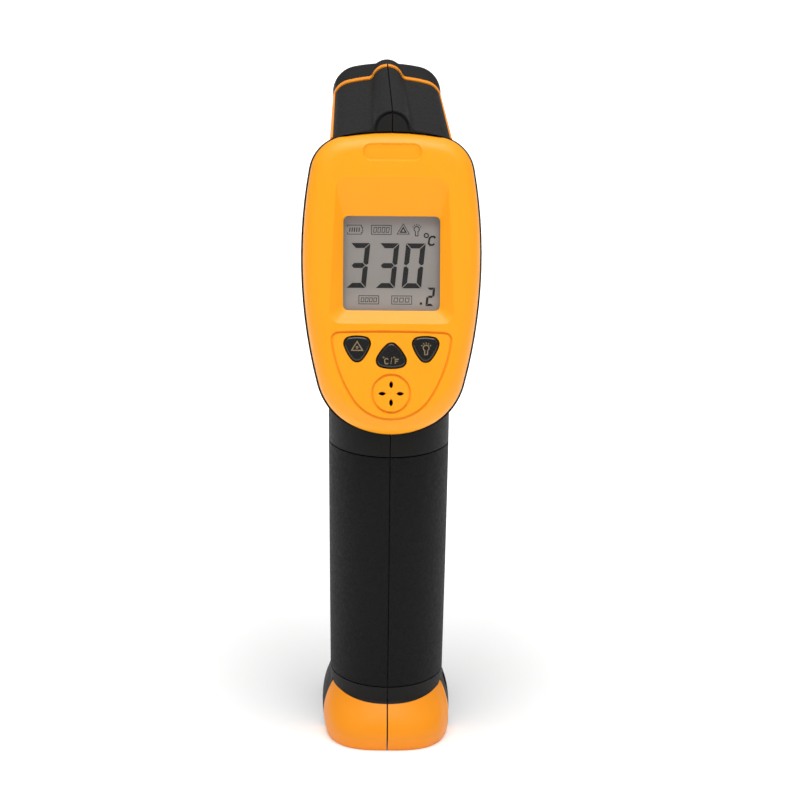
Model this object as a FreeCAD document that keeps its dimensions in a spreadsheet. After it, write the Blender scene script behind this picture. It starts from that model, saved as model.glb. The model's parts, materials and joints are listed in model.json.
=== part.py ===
"""Pistol-grip infrared thermometer as an assembly of separate pieces.

Frame: +Z up, nose towards +Y, display towards -Y, origin on the ground at the middle of the
overall box. Two local frames carry the pieces that lean: the display frame has its origin at the
lower edge of the display face, its y axis up that face and its z axis out of it; the barrel frame
has its origin at the middle of the nose, its y axis down and its z axis forward.
"""
import FreeCAD, Part
import math
import os
import Sketcher
from FreeCAD import Placement, Rotation, Vector

DIMENSIONS = (
    ("total_length", 101.0, "heel of the foot to the nose, along Y"),
    ("heel_overhang", 1.7, "heel behind the lower edge of the display face"),
    ("face_height", 78.6, "lower edge of the display face above the ground"),
    ("face_tilt", 17.3, "display face from the vertical, degrees"),
    ("face_length", 72.3, "display face, lower to upper edge"),
    ("face_half_width", 21.1, "display face at its widest"),
    ("bezel_depth", 5.5, "bezel, front plane to housing rim"),
    ("bezel_round", 4.5, "rounding of the bezel's front edge"),
    ("bezel_plate", 3.6, "thickness of the bezel's front plate"),
    ("bezel_wall", 2.2, "thickness of the bezel's side wall"),
    ("barrel_axis_height", 131.2, "barrel axis at the nose"),
    ("barrel_rise", 1.7, "barrel axis from the horizontal, degrees"),
    ("barrel_half_width", 14.0, "barrel's orange side panels at the nose"),
    ("barrel_growth", 1.35, "barrel's side panels, wider by this at the rear end"),
    ("barrel_ridge", 22.2, "top of the ridge above the barrel axis, at the nose"),
    ("ridge_growth", 1.1, "ridge, higher by this at the rear end"),
    ("ridge_radius", 4.2, "round top of the ridge, at the nose"),
    ("ridge_spread", 0.9, "ridge's radius, larger by this at the rear end"),
    ("collar_depth", 2.5, "collar over the bezel, behind the front plane"),
    ("barrel_shoulder", 19.2, "shoulders above the barrel axis"),
    ("barrel_belly", 18.0, "underside below the barrel axis"),
    ("nose_length", 7.5, "black ring at the nose"),
    ("nose_shoulder", 21.2, "shoulders of the nose ring above the barrel axis"),
    ("hoop_width", 3.2, "orange hoop behind the nose ring"),
    ("skin", 1.2, "thickness of the soft cover"),
    ("wall", 3.0, "soft cover and hard shell together"),
    ("panel_step", 0.3, "orange panels stand this proud of the cover"),
    ("joint_gap", 0.12, "half of the joint line between left and right"),
    ("window_width", 23.0, "display opening"),
    ("window_height", 22.5, "display opening"),
    ("window_centre", 40.9, "display centre, along the face"),
    ("window_recess", 2.2, "display window below the front plane"),
    ("window_thickness", 1.2, "clear display window"),
    ("glass_thickness", 2.0, "liquid crystal cell"),
    ("backlight_thickness", 1.8, "light guide"),
    ("board_depth", 9.0, "front of the main board below the front plane"),
    ("board_thickness", 1.6, "circuit boards"),
    ("key_corner", 1.5, "corner radius of a key"),
    ("key_bulge", 9.0, "radius of a key's bulging sides"),
    ("key_gap", 0.25, "clearance round a key"),
    ("key_travel", 0.6, "stroke of a key"),
    ("key_pitch", 8.1, "outer keys from the middle"),
    ("key_row", 20.3, "middles of the outer keys, along the face"),
    ("speaker_row", 9.85, "speaker centre, along the face"),
    ("speaker_radius", 4.2, "raised disc over the buzzer"),
    ("buzzer_diameter", 9.6, "buzzer"),
    ("buzzer_thickness", 3.2, "buzzer"),
    ("lens_diameter", 18.0, "infrared lens"),
    ("lens_thickness", 1.6, "infrared lens"),
    ("lens_depth", 5.0, "lens behind the nose"),
    ("optic_drop", 1.5, "optical axis below the barrel axis"),
    ("tube_length", 32.0, "optic tube"),
    ("sensor_diameter", 9.2, "thermopile can"),
    ("sensor_height", 4.5, "thermopile can"),
    ("laser_offset", 12.6, "laser above the barrel axis"),
    ("laser_diameter", 6.4, "laser module"),
    ("laser_length", 15.0, "laser module"),
    ("trigger_width", 11.0, "trigger blade"),
    ("trigger_pivot_y", 44.0, "trigger pin ahead of the face edge"),
    ("trigger_pivot_z", 107.0, "trigger pin above the ground"),
    ("trigger_pin_diameter", 3.0, "trigger pin"),
    ("plunger_drop", 8.0, "switch plunger below the trigger pin"),
    ("spring_drop", 17.5, "trigger spring below the trigger pin"),
    ("door_pin_y", 40.0, "door pin ahead of the face edge"),
    ("door_pin_z", 18.6, "door pin above the ground"),
    ("door_pin_diameter", 2.0, "door pin"),
    ("door_top", 67.0, "top of the battery door"),
    ("door_half_width", 10.0, "battery door"),
    ("door_thickness", 2.2, "battery door"),
    ("battery_width", 17.0, "9 V block"),
    ("battery_depth", 26.0, "9 V block"),
    ("battery_height", 48.5, "9 V block"),
    ("battery_tilt", 3.3, "battery leans with the handle, degrees"),
    ("lead_diameter", 1.4, "insulated leads"),
    ("screw_diameter", 2.5, "self-tapping screws"),
    ("screw_head_diameter", 4.8, "self-tapping screws"),
    ("screw_length", 15.0, "self-tapping screws under the head"),
)

os.makedirs("parts", exist_ok=True)
doc = FreeCAD.newDocument("infrared_thermometer")
sheet = doc.addObject("Spreadsheet::Sheet", "Dimensions")
for row, (alias, value, meaning) in enumerate(DIMENSIONS, 1):
    sheet.set("A%d" % row, meaning)
    sheet.set("B%d" % row, str(value))
    sheet.setAlias("B%d" % row, alias)
doc.recompute()


def size(alias):
    """A driving dimension, read from the sheet."""
    return float(sheet.get(alias))


FACE_Y = -size("total_length") / 2 + size("heel_overhang")
NOSE_Y = size("total_length") / 2 - size("barrel_belly") * math.sin(math.radians(size("barrel_rise")))
FACE = Placement(Vector(0, FACE_Y, size("face_height")), Rotation(Vector(1, 0, 0), 90 - size("face_tilt")))
BARREL = Placement(Vector(0, NOSE_Y, size("barrel_axis_height")),
                   Rotation(Vector(1, 0, 0), size("barrel_rise") - 90))
HALF_TURN = math.sqrt(0.5)
BARREL_LENGTH = 90.0
subparts = []


# ---------------------------------------------------------------- document helpers

def bind(obj, **cells):
    """Binds properties of an object to expressions over the sheet."""
    for name, expression in cells.items():
        obj.setExpression(name, expression)


def cell(alias):
    return "Dimensions." + alias


def keep(obj, label):
    """Registers a sub-part under the name of its file."""
    obj.Label = label
    subparts.append(obj)
    return obj


def feature(label, shape, placement=Placement()):
    """A sub-part whose shape comes from Part's own functions."""
    obj = doc.addObject("Part::Feature", label)
    obj.Shape = shape
    obj.Placement = placement.multiply(obj.Placement)
    return keep(obj, label)


def new_body(label, placement=Placement()):
    body = doc.addObject("PartDesign::Body", label)
    body.Placement = placement
    return keep(body, label)


def new_sketch(body, name, height="0", across="0", along="0"):
    """A sketch on the body's XY plane, moved by three expressions."""
    sketch = body.newObject("Sketcher::SketchObject", body.Name + "_" + name)
    origin = next(item for item in body.Origin.OriginFeatures if item.Role == "XY_Plane")
    sketch.AttachmentSupport = (origin, [""])
    sketch.MapMode = "FlatFace"
    sketch.setExpression(".AttachmentOffset.Base.x", across)
    sketch.setExpression(".AttachmentOffset.Base.y", along)
    sketch.setExpression(".AttachmentOffset.Base.z", height)
    return sketch


def draw_circle(sketch, diameter):
    index = sketch.addGeometry(Part.Circle(Vector(0, 0, 0), Vector(0, 0, 1), 2.0), False)
    sketch.addConstraint(Sketcher.Constraint("Coincident", index, 3, -1, 1))
    number = sketch.addConstraint(Sketcher.Constraint("Diameter", index, 4.0))
    sketch.setExpression("Constraints[%d]" % number, diameter)


def draw_rectangle(sketch, width, height):
    """A rectangle about the sketch's own origin."""
    corner = [Vector(-3, -2, 0), Vector(3, -2, 0), Vector(3, 2, 0), Vector(-3, 2, 0)]
    line = [sketch.addGeometry(Part.LineSegment(corner[i], corner[(i + 1) % 4]), False) for i in range(4)]
    for i in range(4):
        sketch.addConstraint(Sketcher.Constraint("Coincident", line[i], 2, line[(i + 1) % 4], 1))
        sketch.addConstraint(Sketcher.Constraint("Vertical" if i % 2 else "Horizontal", line[i]))
    sketch.addConstraint(Sketcher.Constraint("Symmetric", line[0], 1, line[1], 2, -1, 1))
    for index, expression in ((line[0], width), (line[1], height)):
        number = sketch.addConstraint(Sketcher.Constraint("Distance", index, 4.0))
        sketch.setExpression("Constraints[%d]" % number, expression)


def pad(body, sketch, length, downwards=False):
    item = body.newObject("PartDesign::Pad", sketch.Name + "_pad")
    item.Profile = sketch
    item.Reversed = downwards
    item.setExpression("Length", length)
    sketch.Visibility = False
    return item


def pocket(body, sketch, length, upwards=False):
    item = body.newObject("PartDesign::Pocket", sketch.Name + "_pocket")
    item.Profile = sketch
    item.Reversed = upwards
    item.setExpression("Length", length)
    return item


def round_edges(body, base, radius, wanted, tool="Fillet"):
    """Rounds (or chamfers) the edges of a feature that the test picks."""
    doc.recompute()
    names = ["Edge%d" % (i + 1) for i, edge in enumerate(base.Shape.Edges) if wanted(edge)]
    item = body.newObject("PartDesign::" + tool, base.Name + "_" + tool.lower())
    item.Base = (base, names)
    item.setExpression("Radius" if tool == "Fillet" else "Size", radius)
    return item


def is_upright(edge):
    box = edge.BoundBox
    return box.XLength < 0.001 and box.YLength < 0.001


def at_height(height):
    def wanted(edge):
        return abs(edge.BoundBox.ZMin - height) < 0.001 and abs(edge.BoundBox.ZMax - height) < 0.001
    return wanted


# ---------------------------------------------------------------- outlines

def circles_meet(centre_a, radius_a, centre_b, radius_b):
    """The two points where two circles meet."""
    dx, dy = centre_b[0] - centre_a[0], centre_b[1] - centre_a[1]
    apart = math.hypot(dx, dy)
    along = (radius_a ** 2 - radius_b ** 2 + apart ** 2) / (2 * apart)
    aside = math.sqrt(radius_a ** 2 - along ** 2)
    x, y = centre_a[0] + along * dx / apart, centre_a[1] + along * dy / apart
    return [(x - aside * dy / apart, y + aside * dx / apart), (x + aside * dy / apart, y - aside * dx / apart)]


def towards(centre, point, distance):
    apart = math.hypot(point[0] - centre[0], point[1] - centre[1])
    return (centre[0] + (point[0] - centre[0]) * distance / apart,
            centre[1] + (point[1] - centre[1]) * distance / apart)


def arc(centre, radius, start, end):
    """The shorter arc from start to end round a centre."""
    first = math.atan2(start[1] - centre[1], start[0] - centre[0])
    last = math.atan2(end[1] - centre[1], end[0] - centre[0])
    half = ((last - first + math.pi) % (2 * math.pi) - math.pi) / 2
    middle = Vector(centre[0] + radius * math.cos(first + half), centre[1] + radius * math.sin(first + half), 0)
    return Part.Arc(Vector(start[0], start[1], 0), middle, Vector(end[0], end[1], 0)).toShape()


def line(start, end):
    return Part.makeLine(Vector(start[0], start[1], 0), Vector(end[0], end[1], 0))


def mirrored(half):
    """Closes a half outline, drawn on +X, with its mirror image."""
    other = [edge.mirror(Vector(0, 0, 0), Vector(1, 0, 0)) for edge in half]
    return Part.Wire(Part.__sortEdges__(half + other))


def shield(inset, top, bottom, half_width, widest, radii):
    """A face outline of five tangent arcs a side: crown, upper corner, flank, lower corner, chin."""
    crown_r, upper_r, flank_r, lower_r, chin_r = radii
    crown, flank, chin = (0, top - crown_r), (half_width - flank_r, widest), (0, bottom + chin_r)
    upper = max(circles_meet(crown, crown_r - upper_r, flank, flank_r - upper_r), key=lambda p: (p[0] > 0, p[1]))
    lower = max(circles_meet(chin, chin_r - lower_r, flank, flank_r - lower_r), key=lambda p: (p[0] > 0, -p[1]))
    points = [(0, top - inset), towards(crown, upper, crown_r - inset), towards(flank, upper, flank_r - inset),
              towards(flank, lower, flank_r - inset), towards(chin, lower, chin_r - inset), (0, bottom + inset)]
    arcs = [(crown, crown_r), (upper, upper_r), (flank, flank_r), (lower, lower_r), (chin, chin_r)]
    return mirrored([arc(centre, radius - inset, points[i], points[i + 1])
                     for i, (centre, radius) in enumerate(arcs)])


def face_outline(inset):
    return shield(inset, size("face_length"), 0.45, size("face_half_width"), 43.2, (69.0, 9.2, 119.5, 15.2, 20.3))


def neck_outline(inset):
    """Where the housing behind the bezel has narrowed to the barrel and the handle."""
    return shield(inset, 65.0, 7.0, 13.3, 40.0, (30.0, 7.0, 160.0, 8.0, 12.8))


def barrel_outline(inset, shoulder, corner_r, rear=False):
    """Round ridge, concave run-out, crowned shoulder, corner, flat side and round belly."""
    run_out_r, shoulder_r, belly_r = 1.2, 42.0, 9.0
    half_width, belly = size("barrel_half_width"), size("barrel_belly")
    ridge_top, ridge_r = size("barrel_ridge"), size("ridge_radius")
    if rear:
        half_width += size("barrel_growth")
        ridge_top += size("ridge_growth")
        ridge_r += size("ridge_spread")
    ridge, crown = (0, ridge_r - ridge_top), (0, shoulder_r - shoulder)
    run_out = max(circles_meet(ridge, ridge_r + run_out_r, crown, shoulder_r + run_out_r))
    corner = (half_width - corner_r,
              crown[1] - math.sqrt((shoulder_r - corner_r) ** 2 - (half_width - corner_r) ** 2))
    lower = (half_width - belly_r, belly - belly_r)
    points = [(0, inset - ridge_top), towards(ridge, run_out, ridge_r - inset),
              towards(run_out, crown, run_out_r + inset), towards(crown, corner, shoulder_r - inset),
              (half_width - inset, corner[1]), (half_width - inset, lower[1]), (lower[0], belly - inset),
              (0, belly - inset)]
    return mirrored([arc(ridge, ridge_r - inset, points[0], points[1]),
                     arc(run_out, run_out_r + inset, points[1], points[2]),
                     arc(crown, shoulder_r - inset, points[2], points[3]),
                     arc(corner, corner_r - inset, points[3], points[4]),
                     line(points[4], points[5]),
                     arc(lower, belly_r - inset, points[5], points[6]),
                     line(points[6], points[7])])


# height, rear line and front line ahead of the face edge, half width
HANDLE_SECTIONS = ((0, 2.0, 41.5, 13.5), (14, 2.5, 42.5, 13.7), (42, 3.2, 41.0, 14.15), (74, 6.0, 43.5, 14.6),
                   (96, 10.5, 47.5, 14.4), (112, 14.5, 50.2, 13.3), (122, 17.0, 52.0, 12.5))
# the same, the depth of the round heel, and how boxy it is: 2 is an ellipse
FOOT_SECTIONS = ((0, -0.7, 52.6, 14.9, 15.2, 3.2), (4, -1.7, 53.4, 15.6, 15.9, 2.9),
                 (8.5, 0.3, 49.6, 15.0, 16.6, 2.3), (15, 4.5, 42.0, 12.8, 17.5, 2.0))
HANDLE_BACK = 18.0
HEEL_STEPS = 6


def handle_section(inset, height, rear, front, half_width):
    """Half an ellipse at the back, straight sides, rounded corners at the front."""
    round_depth, corner_r = HANDLE_BACK - inset, 8.0 - inset
    side = half_width - inset
    middle, nose = FACE_Y + rear + HANDLE_BACK, FACE_Y + front - inset
    bend = corner_r * (1 - HALF_TURN)
    ellipse = Part.Ellipse(Vector(0, middle - round_depth, height), Vector(side, middle, height),
                           Vector(0, middle, height))
    edges = [Part.ArcOfEllipse(ellipse, -math.pi / 2, math.pi / 2).toShape(),
             Part.makeLine(Vector(-side + corner_r, nose, height), Vector(side - corner_r, nose, height))]
    for way in (-1, 1):
        edges.append(Part.makeLine(Vector(way * side, middle, height), Vector(way * side, nose - corner_r, height)))
        edges.append(Part.Arc(Vector(way * side, nose - corner_r, height),
                              Vector(way * (side - bend), nose - bend, height),
                              Vector(way * (side - corner_r), nose, height)).toShape())
    return Part.Wire(Part.__sortEdges__(edges))


def heel_curve(half_width, depth, middle, height, power):
    """A superellipse round the heel, through points at equal turns."""
    points = []
    for i in range(-HEEL_STEPS, HEEL_STEPS + 1):
        turn = i * math.pi / (2 * HEEL_STEPS)
        across = math.copysign(half_width * abs(math.sin(turn)) ** (2 / power), turn)
        points.append(Vector(across, middle - depth * math.cos(turn), height))
    curve = Part.BSplineCurve()
    curve.interpolate(Points=points, InitialTangent=Vector(0, -1, 0), FinalTangent=Vector(0, 1, 0))
    return curve.toShape()


def foot_section(inset, height, heel, toe, half_width, heel_depth, power):
    """A boxy round heel, bulging flanks and a straight toe with round corners."""
    toe_r, heel_taper, toe_taper, widest = 9.0 - inset, 0.4, 1.4, 27.0
    heel_side, toe_side, side = (half_width - inset - taper for taper in (heel_taper, toe_taper, 0.0))
    middle, front = FACE_Y + heel + heel_depth, FACE_Y + toe - inset
    toe_bend = toe_r * (1 - HALF_TURN)
    edges = [heel_curve(heel_side, heel_depth - inset, middle, height, power),
             Part.makeLine(Vector(-toe_side + toe_r, front, height), Vector(toe_side - toe_r, front, height))]
    for way in (-1, 1):
        edges.append(Part.Arc(Vector(way * heel_side, middle, height), Vector(way * side, FACE_Y + widest, height),
                              Vector(way * toe_side, front - toe_r, height)).toShape())
        edges.append(Part.Arc(Vector(way * toe_side, front - toe_r, height),
                              Vector(way * (toe_side - toe_bend), front - toe_bend, height),
                              Vector(way * (toe_side - toe_r), front, height)).toShape())
    return Part.Wire(Part.__sortEdges__(edges))


# ---------------------------------------------------------------- solids of the housing

def placed(shape, placement):
    shape = shape.copy()
    shape.Placement = placement.multiply(shape.Placement)
    return shape


def prism(wire, low, high):
    """A wire in the XY plane, as a solid between two heights."""
    solid = Part.Face(wire).extrude(Vector(0, 0, high - low))
    solid.translate(Vector(0, 0, low))
    return solid


def slab(low, high):
    return Part.makeBox(high[0] - low[0], high[1] - low[1], high[2] - low[2], Vector(*low))


def rod(radius, start, length, direction=Vector(1, 0, 0)):
    return Part.makeCylinder(radius, length, Vector(*start), direction)


def handle(inset):
    return Part.makeLoft([handle_section(inset, *row) for row in HANDLE_SECTIONS], True, False)


def foot(inset):
    return Part.makeLoft([foot_section(inset, *row) for row in FOOT_SECTIONS], True, False)


def flare(inset):
    rim = face_outline(inset - 0.45)
    rim.translate(Vector(0, 0, -size("bezel_depth")))
    neck = neck_outline(inset)
    neck.translate(Vector(0, 0, -size("bezel_depth") - 15.0))
    return placed(Part.makeLoft([rim, neck], True, True), FACE)


def barrel(inset):
    rear = barrel_outline(inset, size("barrel_shoulder") - 0.35, 5.0, rear=True)
    rear.translate(Vector(0, 0, -BARREL_LENGTH))
    front = barrel_outline(inset, size("barrel_shoulder"), 5.0)
    front.translate(Vector(0, 0, -size("nose_length")))
    return placed(Part.makeLoft([rear, front], True, True), BARREL)


def beyond_rim(inset):
    """The space behind the housing's rim. Above the bezel the soft cover ends in a thick collar."""
    rim, end = -size("bezel_depth"), 90
    if inset == 0.0:
        bezel_room = prism(face_outline(-0.1), rim, end)
        return placed(bezel_room.fuse(slab((-60, -60, -size("collar_depth")), (60, 120, end))), FACE)
    inside = prism(face_outline(inset), rim - inset, rim)
    return placed(slab((-60, -60, rim - inset), (60, 120, end)).cut(inside), FACE)


def housing(inset, barrel_inset, floor):
    """The whole outside, drawn in by an inset, from a floor height up."""
    solid = barrel(barrel_inset).fuse([handle(inset), foot(inset), flare(inset)]).cut(beyond_rim(inset))
    if floor:
        solid = solid.cut(slab((-60, -90, -20), (60, 90, floor)))
    return solid


def lies_ahead(offset):
    """A world Y from a distance ahead of the lower edge of the face."""
    return FACE_Y + offset


skin, wall, step = size("skin"), size("wall"), size("panel_step")
outside = housing(0.0, step, 0.0)
under_skin = housing(skin, skin, 1.0)
cavity = housing(wall, wall, wall)

# zones where the hard orange shell comes to the surface
heel_side = [(-12, -5), (16.6, -5), (16.6, 1.5), (16.5, 6.0), (16.2, 12.9), (14.0, 12.0), (-12, 9.35)]
heel_wire = Part.makePolygon([Vector(-40, lies_ahead(y), z) for y, z in heel_side + heel_side[:1]])
heel_zone = Part.Face(heel_wire).extrude(Vector(80, 0, 0))
hoop_back = -size("nose_length") - size("hoop_width")
hoop_zone = placed(slab((-30, -30, hoop_back), (30, 30, 0)), BARREL)
panel_zone = placed(slab((-30, -14.8, -66.0), (30, 9.5, hoop_back + 0.5)), BARREL)
panel_front_cut = handle(-1.0).fuse(flare(-1.5))
panel_zone = panel_zone.cut(panel_front_cut)
orange_zone = heel_zone.fuse([hoop_zone, panel_zone])
orange_skin = barrel(0.0).common(hoop_zone.fuse(panel_zone)).fuse(foot(0.0).common(heel_zone))

# openings through the walls
pivot_y, pivot_z = lies_ahead(size("trigger_pivot_y")), size("trigger_pivot_z")
hinge_y, hinge_z = lies_ahead(size("door_pin_y")), size("door_pin_z")
slot_half = size("trigger_width") / 2 + 0.4
trigger_slot = slab((-slot_half, lies_ahead(38.5), 80.0), (slot_half, lies_ahead(62.0), 110.6))
door_half, door_top, knuckle_half, knuckle_r = size("door_half_width"), size("door_top"), 6.5, 2.4


def door_zone(grow):
    """The space of the door panel, its narrower lower end and its knuckle, which needs the most room."""
    back = lies_ahead(36.0)
    front = lies_ahead(60.0)
    panel = slab((-door_half - grow, back, 21.5 - grow), (door_half + grow, front, door_top + grow))
    lower = slab((-knuckle_half - grow, back, hinge_z), (knuckle_half + grow, front, 22.0))
    knuckle = rod(knuckle_r + 2 * grow, (-knuckle_half - grow, hinge_y, hinge_z), 2 * (knuckle_half + grow))
    return panel.fuse([lower, knuckle])


door_opening = door_zone(0.25)
pin_bores = [rod(size("trigger_pin_diameter") / 2, (-9.3, pivot_y, pivot_z), 18.6),
             rod(size("door_pin_diameter") / 2, (-9.4, hinge_y, hinge_z), 18.8)]

# housing screws, driven in from the right: ahead of the face edge, height
SCREW_PLACES = ((24.0, 8.6), (34.0, 78.0), (42.0, 116.4), (78.0, 115.9))
head_seat, screw_r = 6.0, size("screw_diameter") / 2
well_r = size("screw_head_diameter") / 2 + 0.3


def grip_zone(shrink):
    """Back and flanks of the handle between the two seams."""
    low, high, front = 14.8 + shrink, 71.7 - shrink, 29.0 - shrink
    return slab((-30, lies_ahead(-20), low), (30, lies_ahead(front), high))


# ---------------------------------------------------------------- left and right shells

def inside_features(side):
    """Ribs, bosses and shelves that stand inside one half, before the halves are parted."""
    near, far = (0.0, 30.0) if side > 0 else (-30.0, 0.0)
    shelf = slab((near, lies_ahead(0), 13.0), (far, lies_ahead(48), 15.0))
    ceiling = slab((near, lies_ahead(0), 71.0), (far, lies_ahead(24.0), 72.6))
    bracket = slab((near, lies_ahead(31.0), 86.0), (far, lies_ahead(33.0), 104.5))
    cradle = slab((near, lies_ahead(64.0), 100.0), (far, lies_ahead(66.0), 122.0))
    solids = [shelf, ceiling, bracket, cradle]
    solids += [rod(3.2, (near, lies_ahead(y), z), 30.0) for y, z in SCREW_PLACES]
    reach = 6.3 if side > 0 else -30.0
    solids.append(rod(3.4, (reach, pivot_y, pivot_z), 30.0 - 6.3))
    block = solids[0].fuse(solids[1:])
    return block.common(cavity)


def half_space(side, gap):
    return slab((gap, -90, -20), (90, 90, 200)) if side > 0 else slab((-90, -90, -20), (-gap, 90, 200))


def make_arch_groove():
    """A shallow ring in the flat rear end of the ridge."""
    radius = size("ridge_radius") + size("ridge_spread") - 0.9
    centre = Vector(0, radius + 0.55 - size("barrel_ridge") - size("ridge_growth") * 0.8, -BARREL_LENGTH - 10)
    ring = Part.makeCylinder(radius, 60, centre).cut(Part.makeCylinder(radius - 0.6, 60, centre))
    groove = slab((-10, 60, -size("collar_depth") - 0.5), (10, 90, 0))
    return placed(ring, BARREL).common(placed(groove, FACE))


hard_shell = under_skin.cut(cavity)
soft_skin = outside.cut(under_skin)
arch_groove = make_arch_groove()
seam = slab((-size("joint_gap"), -90, -20), (size("joint_gap"), 90, 200)).cut(housing(2.3, 2.3, 2.3))
orange_skin = orange_skin.cut(under_skin)
tube_bore = placed(Part.makeCylinder(7.6, 60, Vector(0, size("optic_drop"), -60)), BARREL)


def make_shell(label, side):
    solid = hard_shell.fuse(inside_features(side)).common(half_space(side, 0.0))
    solid = solid.fuse(orange_skin.common(half_space(side, size("joint_gap"))))
    cuts = [trigger_slot, door_opening, tube_bore, seam] + pin_bores
    for y, z in SCREW_PLACES:
        if side > 0:
            cuts.append(rod(screw_r + 0.1, (-1, lies_ahead(y), z), 20.0))
            cuts.append(rod(well_r, (head_seat, lies_ahead(y), z), 30.0))
        else:
            cuts.append(rod(screw_r, (-9.2, lies_ahead(y), z), 10.0))
    return feature(label, solid.cut(cuts))


def make_cover(label, side):
    """The soft skin over one half, outside the orange zones and the grip inlay."""
    solid = soft_skin.common(half_space(side, size("joint_gap")))
    cuts = [orange_zone, grip_zone(0.0), trigger_slot, door_opening, arch_groove,
            rod(size("door_pin_diameter") / 2 + 0.1, (-9.6, hinge_y, hinge_z), 19.2)]
    if side > 0:
        cuts += [rod(well_r, (head_seat, lies_ahead(y), z), 30.0) for y, z in SCREW_PLACES]
    return feature(label, solid.cut(cuts))


def make_grip(label, side):
    """Textured inlay round the back of the handle."""
    return feature(label, soft_skin.common([grip_zone(0.28).common(half_space(side, size("joint_gap")))]))


for side, name in ((-1, "left"), (1, "right")):
    make_shell("shell_" + name, side)
    make_cover("cover_" + name, side)
    make_grip("grip_" + name, side)


# ---------------------------------------------------------------- display end

def rounded(corners, radius, grow=0.0):
    """A convex polygon, anticlockwise, with round corners, grown outwards all round."""
    count = len(corners)
    normals = []
    for i in range(count):
        (x0, y0), (x1, y1) = corners[i], corners[(i + 1) % count]
        run = math.hypot(x1 - x0, y1 - y0)
        normals.append(((y1 - y0) / run, (x0 - x1) / run))
    edges, starts, ends = [], [], []
    for i in range(count):
        before, after = normals[i - 1], normals[i]
        mid = (before[0] + after[0], before[1] + after[1])
        run = math.hypot(*mid)
        mid = (mid[0] / run, mid[1] / run)
        back = radius / (mid[0] * after[0] + mid[1] * after[1])
        centre = (corners[i][0] - mid[0] * back, corners[i][1] - mid[1] * back)
        reach = radius + grow
        starts.append((centre[0] + before[0] * reach, centre[1] + before[1] * reach))
        ends.append((centre[0] + after[0] * reach, centre[1] + after[1] * reach))
        edges.append(arc(centre, reach, starts[-1], ends[-1]))
    edges += [line(ends[i], starts[(i + 1) % count]) for i in range(count)]
    return Part.Wire(Part.__sortEdges__(edges))


def block_corners(half_width, low, high, top_half_width=None):
    top = half_width if top_half_width is None else top_half_width
    return [(-half_width, low), (half_width, low), (top, high), (-top, high)]


def key_outline(half_width, low, high, point_up, grow=0.0):
    """Three round corners joined by bulging sides; drawn point up, turned over for point down."""
    corner_r, side_r = size("key_corner"), size("key_bulge")
    centres = [Vector(-half_width, low, 0), Vector(half_width, low, 0), Vector(0, high, 0)]
    edges = []
    touch = []
    for start, end in ((0, 1), (1, 2), (2, 0)):
        chord = centres[end] - centres[start]
        inwards = Vector(-chord.y, chord.x, 0).normalize()
        back = math.sqrt((side_r - corner_r) ** 2 - (chord.Length / 2) ** 2)
        centre = (centres[start] + centres[end]) / 2 + inwards * back
        ends = [centre + (centres[i] - centre).normalize() * (side_r + grow) for i in (start, end)]
        touch.append(ends)
        edges.append(Part.Arc(ends[0], centre - inwards * (side_r + grow), ends[1]).toShape())
    for i in range(3):
        before, after = touch[i - 1][1], touch[i][0]
        outwards = (before + after - centres[i] * 2).normalize()
        edges.append(Part.Arc(before, centres[i] + outwards * (corner_r + grow), after).toShape())
    wire = Part.Wire(Part.__sortEdges__(edges))
    if not point_up:
        wire.rotate(Vector(0, 0, 0), Vector(0, 0, 1), 180)
    return wire


# name, across and along the face, corner centres (half width, low, high), point up
KEYS = (("key_laser", -size("key_pitch"), size("key_row"), (1.55, -1.35, 1.4), False),
        ("key_unit", 0.0, size("key_row") - 1.4, (1.95, -1.25, 1.35), True),
        ("key_light", size("key_pitch"), size("key_row"), (1.55, -1.35, 1.4), False))
window_low = size("window_centre") - size("window_height") / 2
window_high = size("window_centre") + size("window_height") / 2
MAT_THICKNESS, DOME_HEIGHT = 0.6, 0.5
BOARD_SCREWS = ((-10.0, 57.2), (10.0, 57.2), (-8.6, 12.8), (8.6, 12.8))


def recess_tool():
    """Funnel round the display: short slopes below and beside it, a long one above."""
    depth, over, below, above, aside, aside_top = size("window_recess"), 0.4, 3.3, 9.0, 3.4, 1.8
    spread = (depth + over) / depth
    half = size("window_width") / 2
    low, high = window_low - below * spread, window_high + above * spread
    inner = rounded(block_corners(half, window_low, window_high), 1.3)
    inner.translate(Vector(0, 0, -depth))
    outer = rounded(block_corners(half + aside * spread, low, high, half + aside_top * spread), 3.0)
    outer.translate(Vector(0, 0, over))
    return Part.makeLoft([inner, outer], True, True)


def label_tool():
    """A shallow bar-shaped hollow with sloping sides, above the display."""
    floor, over, slope = 0.6, 0.5, 0.9
    corners, radius = block_corners(6.5, 65.5, 69.1), 1.5
    inner, outer = rounded(corners, radius), rounded(corners, radius, (floor + over) * slope)
    inner.translate(Vector(0, 0, -floor))
    outer.translate(Vector(0, 0, over))
    return Part.makeLoft([inner, outer], True, True)


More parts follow.
